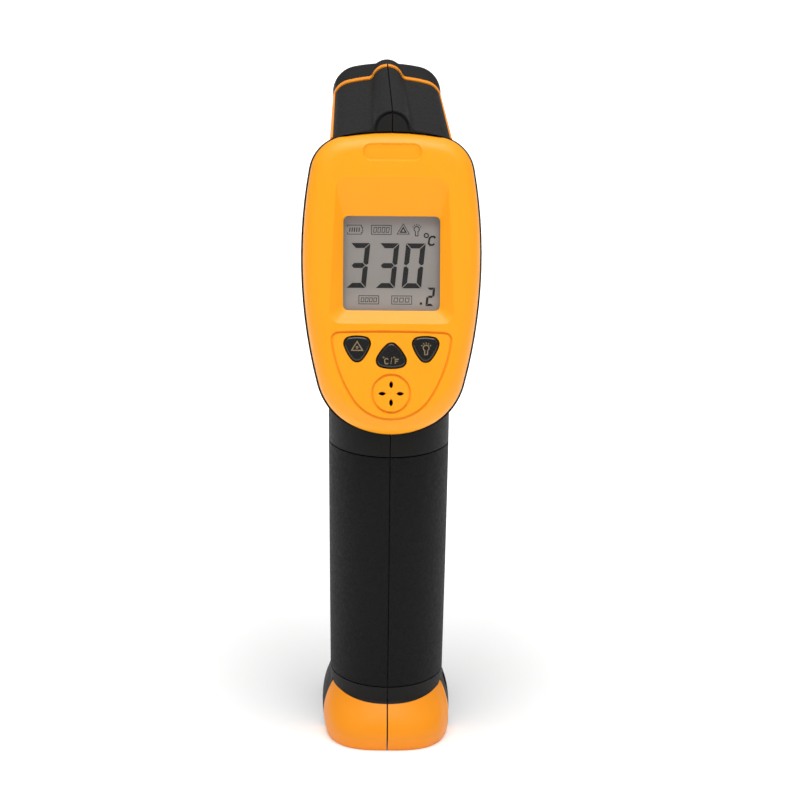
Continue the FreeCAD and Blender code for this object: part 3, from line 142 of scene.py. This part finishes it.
class Finish:
    """A Principled material whose colour, roughness and relief come from procedural textures."""

    def __init__(self, name, roughness=0.5, metallic=0.0, **sockets):
        self.material = bpy.data.materials.new(name)
        self.material.use_nodes = True
        self.nodes, self.links = self.material.node_tree.nodes, self.material.node_tree.links
        self.shader = self.nodes["Principled BSDF"]
        self.shader.inputs["Roughness"].default_value = roughness
        self.shader.inputs["Metallic"].default_value = metallic
        for name, value in sockets.items():
            self.shader.inputs[name.replace("_", " ")].default_value = value
        self.place = self.nodes.new("ShaderNodeTexCoord").outputs["Object"]

    def wire(self, value, socket):
        if isinstance(value, bpy.types.NodeSocket):
            self.links.new(value, socket)
        else:
            socket.default_value = value

    def stretched(self, scale, offset=(0, 0, 0)):
        """Object coordinates scaled differently along each axis."""
        node = self.nodes.new("ShaderNodeMapping")
        node.inputs["Scale"].default_value = scale
        node.inputs["Location"].default_value = offset
        self.links.new(self.place, node.inputs["Vector"])
        return node.outputs["Vector"]

    def noise(self, scale, detail=2.0, roughness=0.5, place=None):
        node = self.nodes.new("ShaderNodeTexNoise")
        node.inputs["Scale"].default_value = scale
        node.inputs["Detail"].default_value = detail
        node.inputs["Roughness"].default_value = roughness
        self.links.new(place or self.place, node.inputs["Vector"])
        return node.outputs["Fac"]

    def cells(self, scale, feature="F1", metric="EUCLIDEAN"):
        node = self.nodes.new("ShaderNodeTexVoronoi")
        node.feature = feature
        if feature != "DISTANCE_TO_EDGE":
            node.distance = metric
        node.inputs["Scale"].default_value = scale
        self.links.new(self.place, node.inputs["Vector"])
        return node.outputs["Distance"]

    def rings(self, centre, pitch):
        """Concentric grooves round an axis along Y."""
        node = self.nodes.new("ShaderNodeTexWave")
        node.wave_type, node.rings_direction, node.wave_profile = "RINGS", "Y", "SAW"
        node.inputs["Scale"].default_value = 1.0
        place = self.stretched((math.tau / 20 / pitch,) * 3, tuple(-c * math.tau / 20 / pitch for c in centre))
        self.links.new(place, node.inputs["Vector"])
        return node.outputs["Fac"]

    def axis(self, index, low, high):
        """How far along one axis a point lies, from 0 at low to 1 at high."""
        split = self.nodes.new("ShaderNodeSeparateXYZ")
        self.links.new(self.place, split.inputs[0])
        return self.span(split.outputs[index], low, high, 0.0, 1.0)

    def off_seam_shade(self, reach):
        """0 within reach of the middle plane, where the halves meet, and 1 away from it: the mask for painted shade
        along the seam.
        """
        split, apart = self.nodes.new("ShaderNodeSeparateXYZ"), self.nodes.new("ShaderNodeMath")
        apart.operation = "ABSOLUTE"
        self.links.new(self.place, split.inputs[0])
        self.links.new(split.outputs[0], apart.inputs[0])
        return self.span(apart.outputs[0], reach, reach * 1.3, 0.0, 1.0)

    def off_grip_shade(self):
        """0 under the grip inlay and just round it, where the shell shows only as a joint line, and 1 elsewhere: the
        mask for painted shade in the joint round the grip.
        """
        low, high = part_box("grip_left")
        margin, blur = 0.6 * MM, 0.05 * MM
        factor = self.axis(1, high.y + margin, high.y + margin + blur)
        for edge, way in ((high.z, 1), (low.z, -1)):
            start, larger = edge + way * margin, self.nodes.new("ShaderNodeMath")
            larger.operation = "MAXIMUM"
            self.links.new(factor, larger.inputs[0])
            self.links.new(self.axis(2, start, start + way * blur), larger.inputs[1])
            factor = larger.outputs[0]
        return factor

    def span(self, value, low, high, first, last):
        node = self.nodes.new("ShaderNodeMapRange")
        for name, number in (("From Min", low), ("From Max", high), ("To Min", first), ("To Max", last)):
            node.inputs[name].default_value = number
        self.links.new(value, node.inputs["Value"])
        return node.outputs["Result"]

    def mix(self, first, last, factor):
        node = self.nodes.new("ShaderNodeMix")
        node.data_type = "RGBA"
        self.wire(factor, node.inputs["Factor"])
        for value, index in ((first, 6), (last, 7)):
            self.wire(value if isinstance(value, bpy.types.NodeSocket) else (*value, 1.0), node.inputs[index])
        return node.outputs[2]

    def colour(self, first, last, factor):
        self.links.new(self.mix(first, last, factor), self.shader.inputs["Base Color"])

    def roughness(self, factor, smooth, rough):
        self.links.new(self.span(factor, 0.2, 0.8, smooth, rough), self.shader.inputs["Roughness"])

    def relief(self, *layers):
        """Stacks bumps: (height texture, depth in millimetres, strength)."""
        normal = None
        for height, depth, strength in layers:
            node = self.nodes.new("ShaderNodeBump")
            node.inputs["Distance"].default_value = depth * MM
            node.inputs["Strength"].default_value = strength
            self.links.new(height, node.inputs["Height"])
            if normal:
                self.links.new(normal, node.inputs["Normal"])
            normal = node.outputs["Normal"]
        self.links.new(normal, self.shader.inputs["Normal"])


def moulded(name, dark, light, smooth, rough, grain=3600, depth=0.03, strength=0.5, seam_shade=None, **sockets):
    """Spark-eroded moulded plastic or rubber: faint colour drift, pebbled grain, uneven gloss.

    With a seam colour, the piece gets painted shade where it shows only as a joint line: darker along the middle
    plane and round the grip inlay, for the shade in the gaps.
    """
    mottle, seam_shade_reach, joint_shade = 90, 0.15 * MM, (0.012, 0.009, 0.008)
    finish = Finish(name, **sockets)
    drift, grains = finish.noise(mottle, 3.0), finish.noise(grain, 2.0, 0.6)
    surface = finish.mix(finish.mix(dark, light, drift), light, finish.span(grains, 0.35, 0.75, 0.0, 0.5))
    # painted shade: the joint lines along the middle plane and round the grip are coloured dark, for the shade in the
    # gaps between the parts
    if seam_shade:
        surface = finish.mix(seam_shade, surface, finish.off_seam_shade(seam_shade_reach))
        surface = finish.mix(joint_shade, surface, finish.off_grip_shade())
    finish.links.new(surface, finish.shader.inputs["Base Color"])
    finish.roughness(finish.noise(grain * 0.4), smooth, rough)
    finish.relief((finish.noise(mottle * 3), depth * 2, 0.08), (grains, depth, strength))
    return finish.material


def leather_grip():
    """Soft inlay with a fine leather grain, with painted shade darkening the creases of the grain."""
    finish = Finish("grip_leather_grain_crease_shade", Specular_IOR_Level=0.13)
    warp = finish.noise(900, 2.0)
    creases = finish.cells(2300, "DISTANCE_TO_EDGE")
    pores = finish.cells(5200)
    # painted shade: the colour is darker in the creases of the grain
    finish.colour((0.004, 0.0041, 0.0044), (0.0075, 0.0077, 0.0081), finish.span(creases, 0.0, 0.12, 0.0, 1.0))
    finish.roughness(warp, 0.55, 0.7)
    finish.relief((warp, 0.05, 0.15), (finish.span(creases, 0.0, 0.18, 0.0, 1.0), 0.08, 0.55), (pores, 0.02, 0.25))
    return finish.material


def glass_cell():
    """Grey reflective liquid crystal cell, with the faint streaks of its polariser and painted light: lighter bands
    along its bottom and top edges lift where the window recess shades it.
    """
    finish = Finish("lcd_grey_polariser_painted_light", Specular_IOR_Level=0.2)
    streaks = finish.noise(60, 2.0, place=finish.stretched((1, 12, 12)))
    low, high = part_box("lcd_glass")
    edge = 7.0 * MM
    base = finish.mix((0.28, 0.262, 0.246), (0.271, 0.255, 0.239), streaks)
    # painted light: the cell is coloured lighter in a band along its bottom edge and along its top edge, against the
    # recess shade
    painted_light_low = finish.mix((0.43, 0.39, 0.355), base, finish.axis(2, low.z, low.z + edge))
    finish.colour(painted_light_low, (0.345, 0.318, 0.308), finish.axis(2, high.z - edge, high.z))
    finish.roughness(finish.noise(2500), 0.55, 0.7)
    return finish.material


def clear_plastic(name, alpha):
    """Clear window: all but its mirror-like gloss passes through."""
    finish = Finish(name, roughness=0.05, metallic=1.0, Alpha=alpha)
    finish.colour((0.93, 0.95, 0.95), (0.97, 0.98, 0.98), finish.noise(40))
    finish.relief((finish.noise(260), 0.01, 0.1))
    return finish.material


def metal(name, dark, light, smooth, rough, along=(1, 1, 1), **sockets):
    """Turned, drawn or plated metal with fine lines."""
    finish = Finish(name, metallic=1.0, **sockets)
    lines = finish.noise(900, 4.0, 0.7, finish.stretched(along))
    finish.colour(dark, light, lines)
    finish.roughness(lines, smooth, rough)
    finish.relief((lines, 0.01, 0.25))
    return finish.material


def solder_mask():
    """Green board with lighter copper tracks and pads under the mask."""
    finish = Finish("board_green_mask", Coat_Weight=0.4, Coat_Roughness=0.15)
    tracks = finish.cells(420, "DISTANCE_TO_EDGE")
    pads = finish.cells(800, "F1", metric="CHEBYCHEV")
    ground = finish.mix((0.008, 0.085, 0.03), (0.012, 0.11, 0.04), finish.noise(300))
    lines = finish.mix((0.03, 0.23, 0.08), ground, finish.span(tracks, 0.05, 0.07, 0.0, 1.0))
    finish.colour((0.55, 0.52, 0.42), lines, finish.span(pads, 0.12, 0.14, 0.0, 1.0))
    finish.roughness(finish.noise(900), 0.3, 0.45)
    finish.relief((tracks, 0.03, 0.3))
    return finish.material


def printed_battery():
    """Lacquered steel can: dark body, copper-coloured band at the terminal end."""
    finish = Finish("battery_lacquer", roughness=0.35, metallic=0.5)
    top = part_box("battery")[1].z
    border = top - 15 * MM
    band = finish.axis(2, border - 0.05 * MM, border + 0.05 * MM)
    studs = finish.axis(2, top - 2.6 * MM, top - 2.5 * MM)
    body = finish.mix((0.012, 0.013, 0.016), (0.02, 0.022, 0.027), finish.noise(200))
    painted = finish.mix(body, (0.55, 0.24, 0.07), band)
    finish.colour(painted, (0.6, 0.6, 0.6), studs)
    finish.roughness(finish.noise(700), 0.25, 0.45)
    finish.relief((finish.noise(400), 0.03, 0.2))
    return finish.material


def fresnel_lens():
    """Milky polyethylene with moulded rings."""
    finish = Finish("lens_milky_rings", roughness=0.35, Subsurface_Weight=0.3, Subsurface_Scale=0.002)
    low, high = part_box("lens")
    rings = finish.rings((low + high) / 2, 0.45 * MM)
    finish.colour((0.46, 0.47, 0.46), (0.62, 0.63, 0.62), rings)
    finish.relief((rings, 0.1, 0.6))
    return finish.material


def elastomer_stripes():
    """Silicone strip with conductive layers across its length."""
    finish = Finish("connector_stripes", roughness=0.6)
    layers = finish.nodes.new("ShaderNodeTexWave")
    layers.wave_type, layers.bands_direction = "BANDS", "X"
    layers.inputs["Scale"].default_value = 400
    finish.links.new(finish.place, layers.inputs["Vector"])
    finish.colour((0.75, 0.38, 0.42), (0.03, 0.03, 0.03), finish.span(layers.outputs["Fac"], 0.45, 0.55, 0, 1))
    finish.relief((finish.noise(2000), 0.02, 0.3))
    return finish.material


def ink(name, dark, light, roughness=0.5):
    """Printed or liquid crystal mark, very slightly uneven."""
    finish = Finish(name, roughness=roughness, Specular_IOR_Level=0.2)
    finish.colour(dark, light, finish.noise(1500))
    return finish.material


def dress(names, material):
    for name in names.split():
        node = frame["nodes"][name]
        node.data.materials.clear()
        node.data.materials.append(material)


ORANGE = dict(dark=(0.95, 0.35, 0.005), light=(0.985, 0.375, 0.006), Specular_IOR_Level=0.35)
DEEP_ORANGE = dict(dark=(0.97, 0.30, 0.004), light=(0.99, 0.325, 0.005), Specular_IOR_Level=0.35)
BLACK = dict(dark=(0.0095, 0.0096, 0.0094), light=(0.014, 0.0141, 0.0138), Specular_IOR_Level=0.13)


def dress_all():
    dress("rear_bezel", moulded("orange_abs_bezel", smooth=0.34, rough=0.5, grain=2600, depth=0.045, **ORANGE))
    # the shells' seam colour is painted shade along their joint lines
    dress("shell_left shell_right", moulded("orange_abs_shell_seam_shade", smooth=0.38, rough=0.52, depth=0.03,
                                            seam_shade=(0.10, 0.025, 0.005), **DEEP_ORANGE))
    dress("trigger", moulded("orange_abs_trigger", smooth=0.3, rough=0.5, depth=0.02, **ORANGE))
    dress("cover_left cover_right", moulded("soft_cover_black", smooth=0.5, rough=0.66, grain=3000, depth=0.04,
                                            **BLACK))
    dress("nose_ring", moulded("nose_black", smooth=0.42, rough=0.58, grain=3400, depth=0.03, **BLACK))
    dress("battery_door", moulded("door_black", smooth=0.46, rough=0.6, grain=2400, depth=0.05, **BLACK))
    dress("grip_left grip_right", leather_grip())
    dress("key_laser key_unit key_light", moulded(
        "key_silicone", (0.0045, 0.0045, 0.005), (0.008, 0.008, 0.0085), 0.2, 0.32, depth=0.01, strength=0.2))
    dress("keypad_mat", moulded("mat_silicone", (0.09, 0.09, 0.095), (0.13, 0.13, 0.135), 0.5, 0.65))
    dress("display_window", clear_plastic("window_clear", 0.03))
    dress("laser_window", clear_plastic("laser_window_clear", 0.15))
    dress("lcd_glass", glass_cell())
    dress("lcd_backlight", moulded("light_guide_white", (0.78, 0.8, 0.79), (0.86, 0.87, 0.86), 0.2, 0.35,
                                   Coat_Weight=0.3))
    dress("lcd_connectors", elastomer_stripes())
    dress("main_board sensor_board", solder_mask())
    dress("microcontroller sensor_amplifier trigger_switch buzzer", moulded(
        "component_black", (0.014, 0.014, 0.015), (0.022, 0.022, 0.023), 0.4, 0.6, grain=5000))
    dress("switch_plunger", moulded("plunger_red", (0.45, 0.03, 0.02), (0.55, 0.04, 0.025), 0.3, 0.45))
    dress("board_screws housing_screws", metal("screw_black_zinc", (0.05, 0.05, 0.055), (0.12, 0.12, 0.13),
                                               0.25, 0.45))
    dress("trigger_pin door_hinge_pin", metal("pin_steel", (0.42, 0.42, 0.43), (0.6, 0.6, 0.61), 0.2, 0.4,
                                              along=(0.1, 1, 1)))
    dress("trigger_spring", metal("spring_steel", (0.45, 0.45, 0.46), (0.66, 0.66, 0.67), 0.15, 0.3))
    dress("thermopile_sensor", metal("sensor_nickel", (0.6, 0.58, 0.54), (0.78, 0.76, 0.72), 0.12, 0.3))
    dress("laser_module", metal("laser_brass", (0.55, 0.36, 0.1), (0.75, 0.52, 0.2), 0.2, 0.4, along=(1, 0.1, 1)))
    dress("lens", fresnel_lens())
    dress("lens_retainer optic_tube battery_snap", moulded(
        "inner_black", (0.012, 0.012, 0.012), (0.018, 0.018, 0.018), 0.6, 0.75, grain=2000, depth=0.05))
    dress("battery", printed_battery())
    for node, dark, light in (("battery_lead_red", (0.45, 0.012, 0.01), (0.56, 0.02, 0.014)),
                              ("battery_lead_black", (0.01, 0.01, 0.01), (0.018, 0.018, 0.018)),
                              ("sensor_cable laser_lead", (0.2, 0.2, 0.21), (0.28, 0.28, 0.29))):
        dress(node, moulded(node.split()[0] + "_pvc", dark, light, 0.3, 0.45, grain=1800, depth=0.02))


# ---------------------------------------------------------------- flat marks

def stroke(points, width, closed=False):
    """Quads along a line through 2-D points, mitred at its corners."""
    points = [Vector(p) for p in points]
    count = len(points)
    sides = []
    for i, point in enumerate(points):
        before = points[i - 1] if closed or i else None
        after = points[(i + 1) % count] if closed or i < count - 1 else None
        ways = [(b - a).normalized() for a, b in ((before, point), (point, after)) if a is not None and b is not None]
        normals = [Vector((-w.y, w.x)) for w in ways]
        mitre = sum(normals, Vector((0, 0))).normalized()
        reach = width / 2 / max(0.3, mitre.dot(normals[0]))
        sides.append((point + mitre * reach, point - mitre * reach))
    last = count if closed else count - 1
    return [[sides[i][0], sides[i][1], sides[(i + 1) % count][1], sides[(i + 1) % count][0]] for i in range(last)]


def box_line(x0, y0, x1, y1, width):
    return stroke([(x0, y0), (x1, y0), (x1, y1), (x0, y1)], width, closed=True)


def bow(centre, radius, first, last, width, steps=20):
    """An arc, or a closed ring when first and last are a full turn apart; angles in degrees."""
    ring = abs(last - first) >= 360
    turns = [math.radians(first + (last - first) * i / steps) for i in range(steps + (0 if ring else 1))]
    return stroke([(centre[0] + radius * math.cos(t), centre[1] + radius * math.sin(t)) for t in turns], width, ring)


def slanted(polygons, slope, base):
    return [[Vector((p[0] + (p[1] - base) * slope, p[1])) for p in polygon] for polygon in polygons]


SEGMENTS = {"0": "abcdef", "2": "abged", "3": "abgcd"}


def digit(symbol, left, bottom, width, height, bar, gap):
    """Seven-segment digit with mitred bar ends."""
    right, top, middle = left + width, bottom + height, bottom + height / 2
    g, h = gap, bar / 2
    shapes = {
        "a": [(left + g, top), (right - g, top), (right - g - bar, top - bar), (left + g + bar, top - bar)],
        "d": [(left + g, bottom), (left + g + bar, bottom + bar), (right - g - bar, bottom + bar),
              (right - g, bottom)],
        "g": [(left + g + h, middle), (left + g + bar, middle + h), (right - g - bar, middle + h),
              (right - g - h, middle), (right - g - bar, middle - h), (left + g + bar, middle - h)],
        "b": [(right, top - g), (right, middle + g + h * 0.4), (right - h, middle + g), (right - bar, middle + g + h),
              (right - bar, top - g - bar)],
        "c": [(right, bottom + g), (right - bar, bottom + g + bar), (right - bar, middle - g - h),
              (right - h, middle - g), (right, middle - g - h * 0.4)]}
    swap = {"b": "f", "c": "e"}
    for name, other in swap.items():
        shapes[other] = [(left + right - x, y) for x, y in reversed(shapes[name])]
    return [[Vector(p) for p in shapes[name]] for name in SEGMENTS[symbol]]


def letter_c(x0, y0, x1, y1, width):
    """A letter C with cut corners."""
    cut = (y1 - y0) * 0.2
    return stroke([(x1, y1 - cut * 0.8), (x1 - cut, y1), (x0 + cut, y1), (x0, y1 - cut), (x0, y0 + cut),
                   (x0 + cut, y0), (x1 - cut, y0), (x1, y0 + cut * 0.8)], width)


def letter_f(x0, y0, x1, y1, width):
    middle = (y0 + y1) / 2
    return stroke([(x0, y0), (x0, y1 - width / 2), (x1, y1 - width / 2)], width) + \
        stroke([(x0, middle), (x1 - (x1 - x0) * 0.2, middle)], width)


def bulb(centre, radius, width, foot, rays):
    """A lamp: round glass, short cap and rays above."""
    x, y = centre
    neck = radius * 0.5
    marks = bow(centre, radius, -60, 240, width, 24)
    shoulder = y - radius * 0.85
    marks += stroke([(x - neck, shoulder), (x - neck, foot), (x + neck, foot), (x + neck, shoulder)], width)
    for i in range(rays):
        turn = math.radians(30 + 120 * i / (rays - 1))
        way = Vector((math.cos(turn), math.sin(turn)))
        marks += stroke([Vector(centre) + way * radius * 1.45, Vector(centre) + way * radius * 1.95], width)
    return marks


def printed(name, polygons, place, thickness, material, body):
    """Thin raised marks; polygons in millimetres in the plane of a placement."""
    mesh = bmesh.new()
    for polygon in polygons:
        rings = [[mesh.verts.new(place @ Vector((p[0] * MM, p[1] * MM, z * MM))) for p in polygon]
                 for z in (0.0, thickness)]
        mesh.faces.new(rings[1])
        mesh.faces.new(rings[0][::-1])
        for i in range(len(polygon)):
            j = (i + 1) % len(polygon)
            mesh.faces.new((rings[0][i], rings[0][j], rings[1][j], rings[1][i]))
    bmesh.ops.recalc_face_normals(mesh, faces=mesh.faces)
    data = bpy.data.meshes.new(name)
    mesh.to_mesh(data)
    mesh.free()
    data.materials.append(material)
    piece = bpy.data.objects.new(name, data)
    bpy.context.scene.collection.objects.link(piece)
    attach(piece, body)
    return piece


# the way that the keys are pressed is into the display face
INTO_FACE = Vector(next(j for j in frame["joints"] if j["name"] == "key_unit_press")["axis"]).normalized()
OUT = -INTO_FACE
UP_FACE = Vector((1, 0, 0)).cross(INTO_FACE)
FACE_TURN = Matrix((Vector((1, 0, 0)), UP_FACE, OUT)).transposed().to_4x4()


def on_front(node):
    """A placement at the middle of the foremost plane of a node on the display face."""
    points = [v.co for v in frame["nodes"][node].data.vertices]
    front = max(p.dot(OUT) for p in points)
    flat = [p for p in points if front - p.dot(OUT) < 0.02 * MM]
    x = (min(p.x for p in flat) + max(p.x for p in flat)) / 2
    along = (min(p.dot(UP_FACE) for p in flat) + max(p.dot(UP_FACE) for p in flat)) / 2
    return Matrix.Translation(Vector((x, 0, 0)) + UP_FACE * along + OUT * front) @ FACE_TURN


def make_reading():
    """Digits and signs of the display, between the cell and the window."""
    slope, bar, gap = 0.1, 1.2, 0.13
    marks = []
    for symbol, left in (("3", -10.75), ("3", -3.85), ("0", 2.4)):
        marks += slanted(digit(symbol, left, -5.75, 4.65, 10.7, bar, gap), slope, -5.75)
    marks += slanted(digit("2", 8.1, -9.95, 1.9, 4.4, 0.55, 0.05), slope, -9.95)
    marks += slanted([[Vector(p) for p in ((6.75, -9.65), (7.3, -9.65), (7.3, -9.1), (6.75, -9.1))]], slope, -9.65)
    marks += bow((8.25, 6.85), 0.48, 0, 360, 0.3)
    marks += slanted(letter_c(8.75, 4.6, 10.15, 6.6, 0.45), slope * 1.5, 4.6)
    return marks


def make_signs():
    """Thin outlined signs round the digits: battery, lamp, beam and three blank state frames."""
    line = 0.15
    marks = stroke([(-10.5, 8.75), (-10.5, 9.2), (-7.2, 9.2), (-7.2, 8.75), (-6.9, 8.75), (-6.9, 7.5), (-7.2, 7.5),
                    (-7.2, 7.05), (-10.5, 7.05), (-10.5, 7.5)], line)
    for i in range(5):
        marks += slanted(stroke([(-9.95 + 0.55 * i, 7.6), (-9.95 + 0.55 * i, 8.65)], 0.24), 0.1, 8.1)
    frames = ((-4.8, 7.05, -0.1, 9.2, 4), (-7.7, -9.55, -3.0, -7.6, 4), (0.1, -9.55, 4.85, -7.6, 3))
    for x0, y0, x1, y1, bars in frames:
        marks += box_line(x0, y0, x1, y1, line)
        step = (x1 - x0 - 0.7) / bars
        for i in range(bars):
            start = x0 + 0.55 + step * i
            marks += slanted(box_line(start, y0 + 0.5, start + step * 0.62, y1 - 0.5, line), 0.12, (y0 + y1) / 2)
    marks += stroke([(1.3, 7.15), (2.75, 9.6), (4.2, 7.15)], line, closed=True)
    marks += stroke([(2.1, 7.6), (2.75, 8.7), (3.4, 7.6)], line * 1.8, closed=True)
    marks += bulb((5.95, 8.35), 0.62, 0.2, 6.75, 5)
    return marks


def make_marks():
    place = on_front("lcd_glass")
    dark = ink("crystal_dark", (0.004, 0.0035, 0.0035), (0.009, 0.008, 0.008))
    thin = ink("crystal_thin", (0.006, 0.0055, 0.005), (0.013, 0.012, 0.011))
    printed("lcd_reading", make_reading(), place, 0.03, dark, "housing")
    printed("lcd_signs", make_signs(), place, 0.03, thin, "housing")
    gold = ink("legend_gold", (0.20, 0.145, 0.075), (0.30, 0.22, 0.12), 0.4)
    beam = stroke([(-1.3, -0.35), (0.0, 1.75), (1.3, -0.35)], 0.26, closed=True)
    beam += bow((0, 0.35), 0.22, 0, 360, 0.2, 12)
    unit = letter_c(-1.55, -1.95, -0.7, -0.75, 0.24) + letter_f(0.95, -1.95, 1.75, -0.75, 0.24)
    unit += bow((-1.85, -0.45), 0.16, 0, 360, 0.12, 10) + bow((0.65, -0.45), 0.16, 0, 360, 0.12, 10)
    unit += stroke([(-0.12, -2.0), (0.12, -0.4)], 0.15)
    lamp = bulb((0.1, 0.3), 0.68, 0.24, -1.25, 5)
    for node, marks in (("key_laser", beam), ("key_unit", unit), ("key_light", lamp)):
        printed(node + "_legend", marks, on_front(node), 0.02, gold, node)


def make_coil():
    """A copy of the trigger spring, fixed to the housing, shown in place of the imported spring."""
    piece = bpy.data.objects.new("trigger_coil", frame["nodes"]["trigger_spring"].data.copy())
    bpy.context.scene.collection.objects.link(piece)
    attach(piece, "housing")
    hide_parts("trigger_spring")
    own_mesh(piece)


make_camera()
make_world()
make_floor()
soft_light("overhead", (0.0, -0.2, 0.9), (0, 0, 0.1), 0.6, 0.5, 3.5)
soft_light("front_left", (-0.9, -0.75, 0.55), (0, 0, 0.09), 0.5, 0.8, 0.3)
soft_light("front_right", (0.95, -0.7, 0.5), (0, 0, 0.09), 0.5, 0.8, 0.3)
soft_sun("sky", (12, 0), 0.96, 50)
bpy.context.scene.view_settings.view_transform = "Standard"
dress_all()
make_marks()
make_coil()
